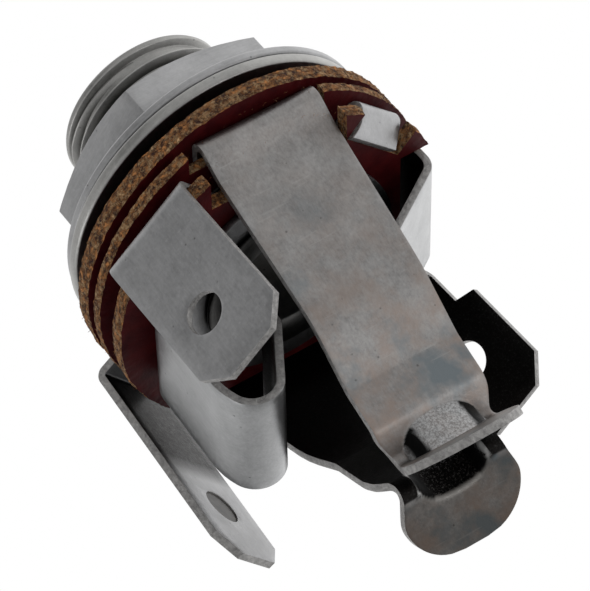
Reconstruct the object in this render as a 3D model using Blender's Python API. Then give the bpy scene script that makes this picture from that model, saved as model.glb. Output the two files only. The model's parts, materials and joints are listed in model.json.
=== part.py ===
"""Quarter inch phone jack with open contact springs, in metres, +Z up.

The jack stands on its nose: the threaded bushing points down, and the contact
springs reach up. The origin lies on the axis in the plane of the panel seat,
which is the front face of the bushing's flange.

Every contact is sheet metal, drawn the way a stamping is drawn: a flat ring
with arms, each arm following runs and bends in its own radial plane, with the
thickness added last. The four plates share one pattern, a spring with its
solder lug 135 degrees further round, and each is turned to its own side.
"""

import math

import bmesh
import bpy
from mathutils import Matrix, Vector

mm = 0.001

# Threaded bushing
thread_radius = 4.7625 * mm
plug_bore_radius = 3.2 * mm
nose_length = 7.6 * mm
nose_chamfer = 0.4 * mm
flange_radius = 8.95 * mm
flange_thickness = 0.7 * mm
barrel_radius = 4.1 * mm
rolled_rim_radius = 4.9 * mm
rolled_rim_height = 0.35 * mm

# Panel hardware
nut_across_flats = 13.1 * mm
nut_thickness = 3.1 * mm
nut_chamfer = 0.6 * mm
nut_corner_azimuth = 25.0
thread_clearance = 0.12 * mm
washer_radius = 8.85 * mm
washer_thickness = 0.55 * mm
washer_bore_clearance = 0.2 * mm

# Insulators
fibre_radius = 9.525 * mm
front_fibre_thickness = 0.92 * mm
middle_fibre_thickness = 0.6 * mm
rear_fibre_thickness = 0.8 * mm
spacer_radius = 7.4 * mm
spacer_thickness = 1.0 * mm
film_radius = 6.9 * mm
film_thickness = 0.1 * mm
collar_wall = 0.7 * mm

# Sheet metal
sheet = 0.42 * mm
plate_radius = 6.3 * mm
bend_radius = 0.35 * mm
left_bend_radius = 1.0 * mm
right_bend_radius = 0.9 * mm
lug_bend_radius = 0.15 * mm
tab_bend_radius = 0.15 * mm
spring_width = 6.7 * mm
lug_width = 5.86 * mm
front_lug_width = 5.3 * mm
lug_neck_half = 1.6 * mm
lug_neck_length = 0.2 * mm
lug_hole_radius = 1.05 * mm
lug_chamfer = 1.25 * mm

# Clearances
seat_gap = 0.05 * mm
barrel_gap = 0.1 * mm
flex_gap = 0.12 * mm
notch_side_gap = 0.15 * mm
notch_depth_gap = 0.3 * mm

# Where the arms stand, in degrees round the axis
upper_azimuth = 0.0
lug_offset = 135.0
lower_azimuth = 180.0
left_azimuth = 90.0
right_azimuth = -90.0
right_lug_turn = 2.0
front_lug_turn = -3.0

# Radius of the outer face of each standing arm, where its root bend ends
upper_root_radius = 8.65 * mm
lower_root_radius = 8.75 * mm
left_root_radius = 8.34 * mm
right_root_radius = 8.41 * mm
front_lug_radius = 10.6 * mm
right_lug_radius = 10.1 * mm
rear_lug_radius = 11.0 * mm

# Lug lengths past the root bend, and how far each leans outwards, in degrees
front_lug_length = 12.15 * mm
right_lug_length = 9.95 * mm
rear_lug_length = 8.4 * mm
front_lug_lean = 3.0
right_lug_lean = 6.5
rear_lug_lean = 6.0
front_lug_hole_height = 11.45 * mm
right_lug_hole_height = 11.0 * mm
rear_lug_hole_height = 10.95 * mm

# Short tab of the rear tip plate, bent in over the rear fibre washer
tab_radius = 9.4 * mm
tab_half_width = 2.0 * mm
tab_waist = 0.5 * mm
tab_length = 1.6 * mm
tab_turn = 129.0

# Tip springs: how far they lean in, and the runs between their bends
upper_lean = 19.5
upper_settle = 16.0
upper_long_run = 7.0 * mm
upper_bow = 14.4
upper_bow_radius = 7.0 * mm
upper_middle_run = 2.1 * mm
upper_kink = 16.0
upper_flat_run = 2.0 * mm
upper_dip = 12.2
upper_dip_run = 1.6 * mm
upper_flare = 90.5
lower_lean = 17.0
lower_settle = 6.0
lower_long_run = 4.35 * mm
lower_bow = 23.0
lower_bow_radius = 10.1 * mm
lower_middle_run = 2.1 * mm
lower_kink = 13.9
lower_flat_run = 2.0 * mm
lower_dip = 15.5
lower_dip_run = 1.75 * mm
lower_flare = 101.0
tongue_run = 3.9 * mm
tongue_corner_radius = 2.7 * mm
kink_radius = 2.2 * mm
settle_radius = 3.0 * mm
settle_run = 0.8 * mm
vee_radius = 0.75 * mm

# Saddle pressed out of each tip spring, so that it wraps round the plug
saddle_height = 1.5 * mm
saddle_half_width = 2.0 * mm
saddle_half_length = 1.6 * mm

# Sleeve springs
left_long_run = 4.85 * mm
left_ease = 22.0
left_ease_radius = 4.0 * mm
left_hairpin = 127.0
left_hairpin_radius = 1.35 * mm
left_return_run = 3.2 * mm
left_toe = 48.0
left_toe_radius = 0.9 * mm
left_toe_run = 0.5 * mm
right_long_run = 0.3 * mm
right_turn_in = 57.0
right_turn_radius = 1.0 * mm
right_return_run = 4.6 * mm
right_toe = 80.0
right_toe_radius = 0.9 * mm
right_toe_run = 0.9 * mm

# How finely curves are divided
round_segments = 64
ring_step = math.radians(8.0)
bend_step = math.radians(14.0)
run_step = 1.6 * mm
saddle_step = 0.34 * mm

# Worked out from the sizes above
barrel_bore = barrel_radius + barrel_gap
collar_outer = barrel_bore + collar_wall
insulated_bore = collar_outer + barrel_gap


def clear_scene():
    for thing in list(bpy.data.objects):
        bpy.data.objects.remove(thing)


def finish_material(name, colour, roughness, metallic):
    made = bpy.data.materials.new(name)
    made.use_nodes = True
    shader = made.node_tree.nodes["Principled BSDF"]
    shader.inputs["Base Color"].default_value = (*colour, 1.0)
    shader.inputs["Roughness"].default_value = roughness
    shader.inputs["Metallic"].default_value = metallic
    return made


def place(name, mesh_data, material, origin=(0.0, 0.0, 0.0)):
    """Turn a bmesh drawn in world coordinates into an object with its own origin."""
    bmesh.ops.translate(mesh_data, verts=mesh_data.verts, vec=-Vector(origin))
    mesh = bpy.data.meshes.new(name)
    mesh_data.to_mesh(mesh)
    mesh_data.free()
    mesh.materials.append(material)
    thing = bpy.data.objects.new(name, mesh)
    thing.location = origin
    bpy.context.collection.objects.link(thing)
    return thing


def smooth(thing, angle=35.0):
    thing.data.shade_smooth()
    thing.data.set_sharp_from_angle(angle=math.radians(angle))


def turned(name, profile, material, origin=(0.0, 0.0, 0.0), segments=round_segments):
    """Spin a closed outline of (radius, height) points round the axis."""
    drawing = bmesh.new()
    corners = [drawing.verts.new((radius, 0.0, height)) for radius, height in profile]
    edges = [drawing.edges.new((corners[i - 1], corners[i])) for i in range(len(corners))]
    bmesh.ops.spin(
        drawing,
        geom=corners + edges,
        cent=(0.0, 0.0, 0.0),
        axis=(0.0, 0.0, 1.0),
        angle=math.tau,
        steps=segments,
        use_merge=True,
    )
    bmesh.ops.remove_doubles(drawing, verts=drawing.verts, dist=0.00001)
    bmesh.ops.recalc_face_normals(drawing, faces=drawing.faces)
    thing = place(name, drawing, material, origin)
    smooth(thing)
    return thing


def washer_profile(inner, outer, front, rear, edge=0.0):
    """Outline of a flat washer, with an optional chamfer on its outer corners."""
    if edge == 0.0:
        return [(inner, front), (outer, front), (outer, rear), (inner, rear)]
    return [
        (inner, front),
        (outer - edge, front),
        (outer, front + edge),
        (outer, rear - edge),
        (outer - edge, rear),
        (inner, rear),
    ]


def cutter(name, drawing):
    """A hidden tool for a Boolean."""
    mesh = bpy.data.meshes.new(name)
    bmesh.ops.recalc_face_normals(drawing, faces=drawing.faces)
    drawing.to_mesh(mesh)
    drawing.free()
    thing = bpy.data.objects.new(name, mesh)
    thing.hide_render = True
    thing.display_type = "WIRE"
    bpy.context.collection.objects.link(thing)
    return thing


def cut_with(thing, tool, operation="DIFFERENCE"):
    change = thing.modifiers.new(tool.name, "BOOLEAN")
    change.operation = operation
    change.object = tool
    change.solver = "EXACT"


def box_cutter(name, azimuth, inner, outer, half_width, low, high):
    """A box standing across one radial direction."""
    drawing = bmesh.new()
    bmesh.ops.create_cube(drawing, size=1.0)
    bmesh.ops.scale(drawing, verts=drawing.verts, vec=(outer - inner, 2.0 * half_width, high - low))
    bmesh.ops.translate(
        drawing, verts=drawing.verts, vec=((inner + outer) / 2.0, 0.0, (low + high) / 2.0)
    )
    turn = Matrix.Rotation(math.radians(azimuth), 4, "Z")
    bmesh.ops.transform(drawing, verts=drawing.verts, matrix=turn)
    return cutter(name, drawing)


def pin_cutter(name, azimuth, side, height, radius, inner, outer, segments=20):
    """A round pin lying along one radial direction."""
    drawing = bmesh.new()
    bmesh.ops.create_cone(
        drawing,
        cap_ends=True,
        segments=segments,
        radius1=radius,
        radius2=radius,
        depth=outer - inner,
    )
    lay = Matrix.Rotation(math.radians(90.0), 4, "Y")
    move = Matrix.Translation(((inner + outer) / 2.0, side, height))
    turn = Matrix.Rotation(math.radians(azimuth), 4, "Z")
    bmesh.ops.transform(drawing, verts=drawing.verts, matrix=turn @ move @ lay)
    return cutter(name, drawing)


class Path:
    """The middle line of a sheet metal arm, in the plane of radius and height.

    The heading is 0 for outwards, 90 for towards the rear, 180 for inwards and
    270 for back towards the front. A positive turn bends the arm that way.
    """

    def __init__(self, radius, height, heading=0.0):
        self.radius = radius
        self.height = height
        self.heading = math.radians(heading)
        self.travelled = 0.0
        self.stations = [(radius, height, self.heading, 0.0)]

    def mark(self):
        self.stations.append((self.radius, self.height, self.heading, self.travelled))

    def run(self, length, step=run_step):
        parts = max(1, math.ceil(length / step))
        for _ in range(parts):
            self.radius += math.cos(self.heading) * length / parts
            self.height += math.sin(self.heading) * length / parts
            self.travelled += length / parts
            self.mark()
        return self

    def bend(self, radius, degrees, step=bend_step):
        angle = math.radians(degrees)
        parts = max(2, math.ceil(abs(angle) / step))
        turn = angle / parts
        chord = 2.0 * radius * math.sin(abs(turn) / 2.0)
        for _ in range(parts):
            self.heading += turn / 2.0
            self.radius += math.cos(self.heading) * chord
            self.height += math.sin(self.heading) * chord
            self.heading += turn / 2.0
            self.travelled += radius * abs(turn)
            self.mark()
        return self


def spread(point_radius, point_side, azimuth):
    """World x and y of a point at a radius and a sideways offset."""
    angle = math.radians(azimuth)
    return (
        point_radius * math.cos(angle) - point_side * math.sin(angle),
        point_radius * math.sin(angle) + point_side * math.cos(angle),
    )


def add_row(drawing, station, sides, azimuth, crown=None):
    """One row of points across an arm, lifted by the crown along its outer side."""
    radius, height, heading, travelled = station
    row = []
    for side in sides:
        lift = crown(travelled, side) if crown else 0.0
        along_radius = radius + lift * math.sin(heading)
        along_height = height - lift * math.cos(heading)
        x, y = spread(along_radius, side, azimuth)
        row.append(drawing.verts.new((x, y, along_height)))
    return row


def join_rows(drawing, before, after):
    for i in range(len(before) - 1):
        drawing.faces.new((before[i], before[i + 1], after[i + 1], after[i]))


def even_sides(low, high, count):
    return [low + (high - low) * i / count for i in range(count + 1)]


def thicken(thing):
    wall = thing.modifiers.new("sheet", "SOLIDIFY")
    wall.thickness = sheet
    wall.offset = 0.0
    wall.use_even_offset = True
    wall.use_quality_normals = True


def draw_arm(drawing, first_row, stations, azimuth, edges, columns, crown=None):
    """Add the rows of an arm after its first row. edges gives (low, high) at a station."""
    previous = first_row
    for station in stations:
        low, high = edges(station[3])
        row = add_row(drawing, station, even_sides(low, high, columns), azimuth, crown)
        join_rows(drawing, previous, row)
        previous = row


def plate(name, middle, bore, arms, material):
    """A flat ring with arms. Each arm is (azimuth, half width, columns, path, edges)."""
    drawing = bmesh.new()
    ordered = sorted(arms, key=lambda arm: arm[0] % 360.0)
    spots = []
    for number, (azimuth, half, columns, _, _) in enumerate(ordered):
        centre = math.radians(azimuth % 360.0)
        angles = [centre + math.asin(s / plate_radius) for s in even_sides(-half, half, columns)]
        spots += [(angle, number) for angle in angles]
        following = ordered[(number + 1) % len(ordered)]
        next_centre = math.radians(following[0] % 360.0)
        if number == len(ordered) - 1:
            next_centre += math.tau
        next_first = next_centre - math.asin(following[1] / plate_radius)
        gap = next_first - angles[-1]
        parts = math.ceil(gap / ring_step)
        spots += [(angles[-1] + gap * i / parts, None) for i in range(1, parts)]

    def ring_point(angle, radius):
        return drawing.verts.new((radius * math.cos(angle), radius * math.sin(angle), middle))

    inner = [ring_point(angle, bore) for angle, _ in spots]
    outer = [ring_point(angle, plate_radius) for angle, _ in spots]
    for i in range(len(spots)):
        drawing.faces.new((inner[i - 1], outer[i - 1], outer[i], inner[i]))
    for number, (azimuth, _, columns, path, edges) in enumerate(ordered):
        root = [outer[i] for i, (_, owner) in enumerate(spots) if owner == number]
        draw_arm(drawing, root, path.stations[1:], azimuth, edges, columns)
    bmesh.ops.recalc_face_normals(drawing, faces=drawing.faces)
    thing = place(name, drawing, material)
    thicken(thing)
    smooth(thing)
    return thing


def root_path(middle, outer_face, turn, inner_radius=bend_radius):
    """The flat arm and root bend that every standing arm starts with."""
    path = Path(plate_radius, middle)
    turned_radius = inner_radius + sheet / 2.0
    reach = outer_face - sheet / 2.0 - turned_radius
    path.run(reach - plate_radius)
    path.bend(turned_radius, turn)
    return path


def lug_arm(azimuth, middle, outer_face, length, lean, neck, width=lug_width):
    """A solder lug: root bend, neck on one side, straight run and chamfered end."""
    path = root_path(middle, outer_face, 90.0 - lean, lug_bend_radius)
    path.run(lug_neck_length)
    path.run(lug_neck_half / 3.0)
    body_start = path.travelled
    path.run(length - lug_neck_length - lug_neck_half / 3.0 - lug_chamfer)
    chamfer_start = path.travelled
    path.run(lug_chamfer)
    half = width / 2.0

    def edges(travelled):
        narrow = lug_neck_half if neck and travelled < body_start - 1e-9 else half
        if travelled < chamfer_start + 1e-9:
            return -half, narrow
        cut = travelled - chamfer_start
        return -half + cut, half - cut

    return azimuth, half, 4, path, edges


def drill_lug(thing, azimuth, outer_face, height):
    tool = pin_cutter(
        "cut_" + thing.name + "_lug_hole",
        azimuth,
        0.0,
        height,
        lug_hole_radius,
        outer_face - 2.0 * mm,
        outer_face + 3.0 * mm,
    )
    cut_with(thing, tool)


def stub_arm(azimuth, middle, outer_face, turn, inner_radius=bend_radius):
    """The part of a spring's root bend that stays with its plate."""
    path = root_path(middle, outer_face, turn, inner_radius)
    half = spring_width / 2.0

    def edges(travelled):
        return -half, half

    return (azimuth, half, 4, path, edges), path


def after_root(path):
    """A new path that goes on where the root bend ends, past the flex gap."""
    radius, height, heading, _ = path.stations[-1]
    going_on = Path(
        radius + math.cos(heading) * flex_gap,
        height + math.sin(heading) * flex_gap,
        math.degrees(heading),
    )
    return going_on


def spring(name, azimuth, path, edges, columns, material, hinge, crown=None):
    """A spring by itself, with its origin on the line it flexes about."""
    drawing = bmesh.new()
    low, high = edges(0.0)
    first = add_row(drawing, path.stations[0], even_sides(low, high, columns), azimuth, crown)
    draw_arm(drawing, first, path.stations[1:], azimuth, edges, columns, crown)
    bmesh.ops.recalc_face_normals(drawing, faces=drawing.faces)
    x, y = spread(hinge[0], 0.0, azimuth)
    thing = place(name, drawing, material, (x, y, hinge[1]))
    thicken(thing)
    smooth(thing)
    return thing


def saddle(centre):
    """The arch across a tip spring: nothing at its rim, full height in its middle."""

    def crown(travelled, side):
        along = (travelled - centre) / saddle_half_length
        across = abs(side) / saddle_half_width
        if abs(along) >= 1.0 or across >= 1.0:
            return 0.0
        return saddle_height * math.cos(along * math.pi / 2.0) ** 1.5 * (1.0 - across**3)

    return crown


def tip_spring(name, azimuth, start, sizes, material):
    """A leaning leaf with a bow, a kink, a pressed vee with its saddle, and a flared end."""
    path = after_root(start)
    path.run(settle_run)
    path.bend(settle_radius, -sizes["settle"])
    path.run(sizes["long"])
    path.bend(sizes["bow_radius"], sizes["bow"])
    path.run(sizes["middle"])
    path.bend(kink_radius, -sizes["kink"])
    path.run(sizes["flat"] - saddle_half_length / 2.0)
    path.run(saddle_half_length / 2.0, saddle_step)
    path.bend(kink_radius, sizes["dip"])
    path.run(sizes["dip_run"], saddle_step)
    path.bend(vee_radius, -sizes["flare"], bend_step / 1.2)
    vee = path.travelled - vee_radius * math.radians(sizes["flare"]) / 2.0
    path.run(sizes["end"], saddle_step)
    edges = round_end(path.travelled)
    first = start.stations[-1]
    return spring(
        name, azimuth, path, edges, 14, material, (first[0], first[1]), saddle(vee - sheet / 2.0)
    )


def round_end(total):
    """A tongue whose corners are rounded by an arc."""
    half = spring_width / 2.0

    def edges(travelled):
        short = total - travelled
        if short >= tongue_corner_radius:
            return -half, half
        drop = tongue_corner_radius - short
        width = half - tongue_corner_radius + math.sqrt(max(tongue_corner_radius**2 - drop**2, 0.0))
        return -width, width

    return edges


def fibre_washer(name, bore, front, thickness, notches, material):
    """A fibre washer with a notch wherever a spring or tab stands past its rim."""
    thing = turned(
        name, washer_profile(bore, fibre_radius, front, front + thickness, 0.08 * mm), material
    )
    for azimuth, depth, half in notches:
        tool = box_cutter(
            "cut_" + name + "_" + str(round(azimuth % 360.0)),
            azimuth,
            depth,
            fibre_radius + 2.0 * mm,
            half,
            front - mm,
            front + thickness + mm,
        )
        cut_with(thing, tool)
    return thing


def hex_nut(name, front, material):
    """A chamfered blank, cut to a hexagon."""
    corner = nut_across_flats / 2.0 / math.cos(math.pi / 6.0)
    bore = thread_radius + thread_clearance
    rear = front + nut_thickness
    lead = 0.3 * mm
    blank = [
        (bore, front + lead),
        (bore + lead, front),
        (corner - nut_chamfer * 1.7, front),
        (corner, front + nut_chamfer),
        (corner, rear - nut_chamfer * 0.5),
        (corner - nut_chamfer * 0.85, rear),
        (bore + lead, rear),
        (bore, rear - lead),
    ]
    thing = turned(name, blank, material, segments=48)
    drawing = bmesh.new()
    bmesh.ops.create_cone(
        drawing, cap_ends=True, segments=6, radius1=corner, radius2=corner, depth=nut_thickness * 2.0
    )
    move = Matrix.Translation((0.0, 0.0, (front + rear) / 2.0))
    turn = Matrix.Rotation(math.radians(nut_corner_azimuth - 90.0), 4, "Z")
    bmesh.ops.transform(drawing, verts=drawing.verts, matrix=move @ turn)
    cut_with(thing, cutter("cut_hexagon", drawing), "INTERSECT")
    return thing


def build():
    clear_scene()
    steel = finish_material("nickel_plated_steel", (0.42, 0.42, 0.41), 0.34, 1.0)
    brass = finish_material("nickel_plated_brass", (0.55, 0.55, 0.54), 0.3, 1.0)
    fibre = finish_material("vulcanised_fibre", (0.17, 0.025, 0.02), 0.7, 0.0)
    black = finish_material("black_insulator", (0.015, 0.014, 0.014), 0.6, 0.0)

    # The stack, from the flange to the rolled rim
    spacer_front = flange_thickness + seat_gap
    front_fibre_front = spacer_front + spacer_thickness + seat_gap
    tip_front = front_fibre_front + front_fibre_thickness + seat_gap
    middle_fibre_front = tip_front + sheet + seat_gap
    tip_rear = middle_fibre_front + middle_fibre_thickness + seat_gap
    film_front = tip_rear + sheet + seat_gap
    sleeve_front = film_front + film_thickness + seat_gap
    rear_fibre_front = sleeve_front + sheet + seat_gap
    sleeve_rear = rear_fibre_front + rear_fibre_thickness + seat_gap
    rim_front = sleeve_rear + sheet + seat_gap
    half_sheet = sheet / 2.0

    lip = 0.25 * mm
    rim_rear = rim_front + rolled_rim_height
    turned(
        "bushing",
        [
            (plug_bore_radius, -nose_length + lip),
            (plug_bore_radius + lip, -nose_length),
            (thread_radius - nose_chamfer, -nose_length),
            (thread_radius, -nose_length + nose_chamfer),
            (thread_radius, 0.0),
            (flange_radius - lip, 0.0),
            (flange_radius, lip / 2.0),
            (flange_radius, flange_thickness),
            (barrel_radius, flange_thickness),
            (barrel_radius, rim_front),
            (rolled_rim_radius, rim_front),
            (rolled_rim_radius, rim_front + rolled_rim_height * 0.6),
            (rolled_rim_radius - lip, rim_rear),
            (plug_bore_radius + lip, rim_rear),
            (plug_bore_radius, rim_rear - lip),
        ],
        brass,
    )

    washer_rear = -seat_gap
    washer_front = washer_rear - washer_thickness
    turned(
        "flat_washer",
        washer_profile(
            thread_radius + washer_bore_clearance, washer_radius, washer_front, washer_rear, 0.1 * mm
        ),
        steel,
    )
    hex_nut("hex_nut", washer_front - seat_gap - nut_thickness, steel)

    turned(
        "front_spacer",
        washer_profile(barrel_bore, spacer_radius, spacer_front, spacer_front + spacer_thickness),
        black,
    )
    turned(
        "insulating_film",
        washer_profile(barrel_bore, film_radius, film_front, film_front + film_thickness),
        black,
    )
    for name, front in (("front_collar", tip_front), ("rear_collar", tip_rear)):
        turned(name, washer_profile(barrel_bore, collar_outer, front, front + sheet), black)

    # The four plates, each with its spring's root and its lug
    upper_stub, upper_root = stub_arm(
        upper_azimuth,
        tip_front + half_sheet,
        upper_root_radius,
        90.0 + upper_lean + upper_settle,
    )
    front_lug_azimuth = upper_azimuth + lug_offset + front_lug_turn
    front_lug = lug_arm(
        front_lug_azimuth,
        tip_front + half_sheet,
        front_lug_radius,
        front_lug_length,
        front_lug_lean,
        True,
        front_lug_width,
    )
    tip_plate_front = plate(
        "tip_plate_front", tip_front + half_sheet, insulated_bore, [upper_stub, front_lug], steel
    )
    drill_lug(tip_plate_front, front_lug_azimuth, front_lug_radius, front_lug_hole_height)

    lower_stub, lower_root = stub_arm(
        lower_azimuth,
        tip_rear + half_sheet,
        lower_root_radius,
        90.0 + lower_lean + lower_settle,
    )
    tab_path = root_path(tip_rear + half_sheet, tab_radius, tab_turn, tab_bend_radius)
    tab_start = tab_path.travelled
    tab_path.run(tab_length, tab_length / 5.0)

    def tab_edges(travelled):
        along = (travelled - tab_start) / tab_length
        waist = tab_waist * math.sin(math.pi * along) if along > 0.0 else 0.0
        return -tab_half_width, tab_half_width - waist

    plate(
        "tip_plate_rear",
        tip_rear + half_sheet,
        insulated_bore,
        [lower_stub, (lower_azimuth + lug_offset, tab_half_width, 4, tab_path, tab_edges)],
        steel,
    )

    right_stub, right_root = stub_arm(
        right_azimuth, sleeve_front + half_sheet, right_root_radius, 90.0, right_bend_radius
    )
    right_lug_azimuth = right_azimuth + lug_offset + right_lug_turn
    right_lug = lug_arm(
        right_lug_azimuth,
        sleeve_front + half_sheet,
        right_lug_radius,
        right_lug_length,
        right_lug_lean,
        False,
    )
    sleeve_plate_front = plate(
        "sleeve_plate_front", sleeve_front + half_sheet, barrel_bore, [right_stub, right_lug], steel
    )
    drill_lug(sleeve_plate_front, right_lug_azimuth, right_lug_radius, right_lug_hole_height)

    left_stub, left_root = stub_arm(
        left_azimuth, sleeve_rear + half_sheet, left_root_radius, 90.0, left_bend_radius
    )
    rear_lug = lug_arm(
        left_azimuth + lug_offset,
        sleeve_rear + half_sheet,
        rear_lug_radius,
        rear_lug_length,
        rear_lug_lean,
        True,
    )
    sleeve_plate_rear = plate(
        "sleeve_plate_rear", sleeve_rear + half_sheet, barrel_bore, [left_stub, rear_lug], steel
    )
    drill_lug(sleeve_plate_rear, left_azimuth + lug_offset, rear_lug_radius, rear_lug_hole_height)

    # The springs that go on from those roots
    tip_spring(
        "tip_spring_upper",
        upper_azimuth,
        upper_root,
        dict(
            settle=upper_settle,
            long=upper_long_run,
            bow=upper_bow,
            bow_radius=upper_bow_radius,
            middle=upper_middle_run,
            kink=upper_kink,
            flat=upper_flat_run,
            dip=upper_dip,
            dip_run=upper_dip_run,
            flare=upper_flare,
            end=tongue_run,
        ),
        steel,
    )
    tip_spring(
        "tip_spring_lower",
        lower_azimuth,
        lower_root,
        dict(
            settle=lower_settle,
            long=lower_long_run,
            bow=lower_bow,
            bow_radius=lower_bow_radius,
            middle=lower_middle_run,
            kink=lower_kink,
            flat=lower_flat_run,
            dip=lower_dip,
            dip_run=lower_dip_run,
            flare=lower_flare,
            end=tongue_run,
        ),
        steel,
    )

    half = spring_width / 2.0

    def full_width(travelled):
        return -half, half

    left_path = after_root(left_root)
    left_path.run(left_long_run)
    left_path.bend(left_ease_radius, left_ease)
    left_path.bend(left_hairpin_radius, left_hairpin)
    left_path.run(left_return_run)
    left_path.bend(left_toe_radius, left_toe)
    left_path.run(left_toe_run)
    first = left_root.stations[-1]
    spring("sleeve_spring_left", left_azimuth, left_path, full_width, 4, steel, (first[0], first[1]))

    right_path = after_root(right_root)
    right_path.run(right_long_run)
    right_path.bend(right_turn_radius, right_turn_in)
    right_path.run(right_return_run)
    right_path.bend(right_toe_radius, -right_toe)
    right_path.run(right_toe_run)
    first = right_root.stations[-1]
    spring("sleeve_spring_right", right_azimuth, right_path, full_width, 4, steel, (first[0], first[1]))

    # Fibre washers, notched where a spring or the tab stands past them
    spring_half = half + notch_side_gap
    tab_half = tab_half_width + notch_side_gap

    def inner_face(outer_face, lean, plate_front, height, inner_radius=bend_radius):
        """Radius of a leaning arm's inner face at a height past its root bend."""
        centre_radius = outer_face - sheet - inner_radius
        rise = height - (plate_front + sheet + inner_radius)
        tilt = math.radians(lean)
        return centre_radius + (inner_radius - rise * math.sin(tilt)) / math.cos(tilt)

    middle_rear = middle_fibre_front + middle_fibre_thickness
    rear_rear = rear_fibre_front + rear_fibre_thickness
    fibre_washer(
        "fibre_washer_front", insulated_bore, front_fibre_front, front_fibre_thickness, [], fibre
    )
    fibre_washer(
        "fibre_washer_middle",
        barrel_bore,
        middle_fibre_front,
        middle_fibre_thickness,
        [
            (
                upper_azimuth,
                inner_face(upper_root_radius, upper_lean + upper_settle, tip_front, middle_rear)
                - notch_depth_gap,
                spring_half,
            )
        ],
        fibre,
    )
    fibre_washer(
        "fibre_washer_rear",
        barrel_bore,
        rear_fibre_front,
        rear_fibre_thickness,
        [
            (
                upper_azimuth,
                inner_face(upper_root_radius, upper_lean + upper_settle / 2.0, tip_front, rear_rear)
                - notch_depth_gap,
                spring_half,
            ),
            (
                lower_azimuth,
                inner_face(lower_root_radius, lower_lean + lower_settle / 2.0, tip_rear, rear_rear)
                - notch_depth_gap,
                spring_half,
            ),
            (right_azimuth, right_root_radius - sheet - right_bend_radius, spring_half),
            (right_lug_azimuth, right_lug_radius - sheet - lug_bend_radius, lug_width / 2.0),
            (
                lower_azimuth + lug_offset,
                inner_face(tab_radius, tab_turn - 90.0, tip_rear, rear_rear, tab_bend_radius)
                - notch_depth_gap,
                tab_half,
            ),
        ],
        fibre,
    )


build()
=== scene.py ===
# %% [markdown]
# # Quarter inch phone jack
# The imported CAD model comes in first and stays where it is. Each visible piece is then
# modelled again with finer bends, softened edges and worn finishes, some with painted shade. Most
# of the new pieces ride on a body of the model; the four springs ride on none.

import json
import math
import random

import bmesh
import bpy
from mathutils import Matrix, Vector, noise

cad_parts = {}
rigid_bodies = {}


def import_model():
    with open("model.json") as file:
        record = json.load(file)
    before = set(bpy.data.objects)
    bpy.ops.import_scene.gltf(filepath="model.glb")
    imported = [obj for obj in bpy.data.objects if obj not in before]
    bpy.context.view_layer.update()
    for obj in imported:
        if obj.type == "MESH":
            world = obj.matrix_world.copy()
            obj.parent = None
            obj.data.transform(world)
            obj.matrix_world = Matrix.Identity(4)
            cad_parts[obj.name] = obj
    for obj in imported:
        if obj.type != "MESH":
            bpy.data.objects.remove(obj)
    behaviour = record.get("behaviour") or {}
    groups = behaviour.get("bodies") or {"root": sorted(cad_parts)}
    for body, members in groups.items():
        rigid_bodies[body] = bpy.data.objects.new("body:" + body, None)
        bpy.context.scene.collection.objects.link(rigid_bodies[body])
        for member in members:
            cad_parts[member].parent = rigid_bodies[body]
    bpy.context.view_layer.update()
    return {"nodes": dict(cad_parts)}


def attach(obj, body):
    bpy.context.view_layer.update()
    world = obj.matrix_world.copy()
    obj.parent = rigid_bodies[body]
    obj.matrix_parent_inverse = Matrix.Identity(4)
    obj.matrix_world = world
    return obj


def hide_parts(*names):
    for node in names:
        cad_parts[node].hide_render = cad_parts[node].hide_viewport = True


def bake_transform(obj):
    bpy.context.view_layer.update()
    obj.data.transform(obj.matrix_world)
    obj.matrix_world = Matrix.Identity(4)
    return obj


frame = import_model()
mm = 0.001

# %% [markdown]
# ## Camera
# The photograph looks at the contacts from behind and above, with a long lens. The camera's
# place and turn come from the outlines of the washers and the springs, and the three unit
# vectors below say where its right, its up and its back point.

# %% Camera
camera_data = bpy.data.cameras.new("camera")
camera_data.sensor_fit = "HORIZONTAL"
camera_data.sensor_width = 36.0
camera_data.lens = 203.87
camera_data.clip_start = 0.01
camera = bpy.data.objects.new("camera", camera_data)
bpy.context.scene.collection.objects.link(camera)
camera_right = Vector((-0.01715, -0.83052, 0.55673))
camera_up = Vector((0.63617, -0.43863, -0.63474))
camera_back = Vector((0.77136, 0.34329, 0.53587))
camera_turn = Matrix((camera_right, camera_up, camera_back)).transposed().to_4x4()
camera.matrix_world = Matrix.Translation((0.12713, 0.05713, 0.09600)) @ camera_turn
bpy.context.scene.camera = camera
bpy.context.scene.view_settings.view_transform = "Standard"
print("Camera at", [round(value, 4) for value in camera.location])

# %% [markdown]
# ## Working in edit mode
# Everything is shaped as by hand, so a few helpers select one thing, or the newest row of
# points, and apply modifiers. What is selected always decides what an operator changes.
# A mark is one number for each point, such as how black it is, which the finishes read.


# %% Helpers for selecting and applying
def only(thing):
    bpy.ops.object.select_all(action="DESELECT")
    thing.select_set(True)
    bpy.context.view_layer.objects.active = thing


def edit_all(thing):
    """Go to edit mode with everything selected."""
    only(thing)
    bpy.ops.object.mode_set(mode="EDIT")
    bpy.ops.mesh.select_all(action="SELECT")


def end_edit():
    bpy.ops.object.mode_set(mode="OBJECT")


def select_beyond(thing, edge):
    """Select the points past an edge along x, and stay in edit mode."""
    edit_all(thing)
    bpy.ops.mesh.select_mode(type="VERT")
    bpy.ops.mesh.select_all(action="DESELECT")
    end_edit()
    for point in thing.data.vertices:
        point.select = point.co.x > edge
    bpy.ops.object.mode_set(mode="EDIT")


def apply_all(thing):
    only(thing)
    for change in list(thing.modifiers):
        bpy.ops.object.modifier_apply(modifier=change.name)


def settle(thing):
    """Put the object's place and turn into its mesh."""
    only(thing)
    bpy.ops.object.transform_apply(location=True, rotation=True, scale=True)


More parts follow.
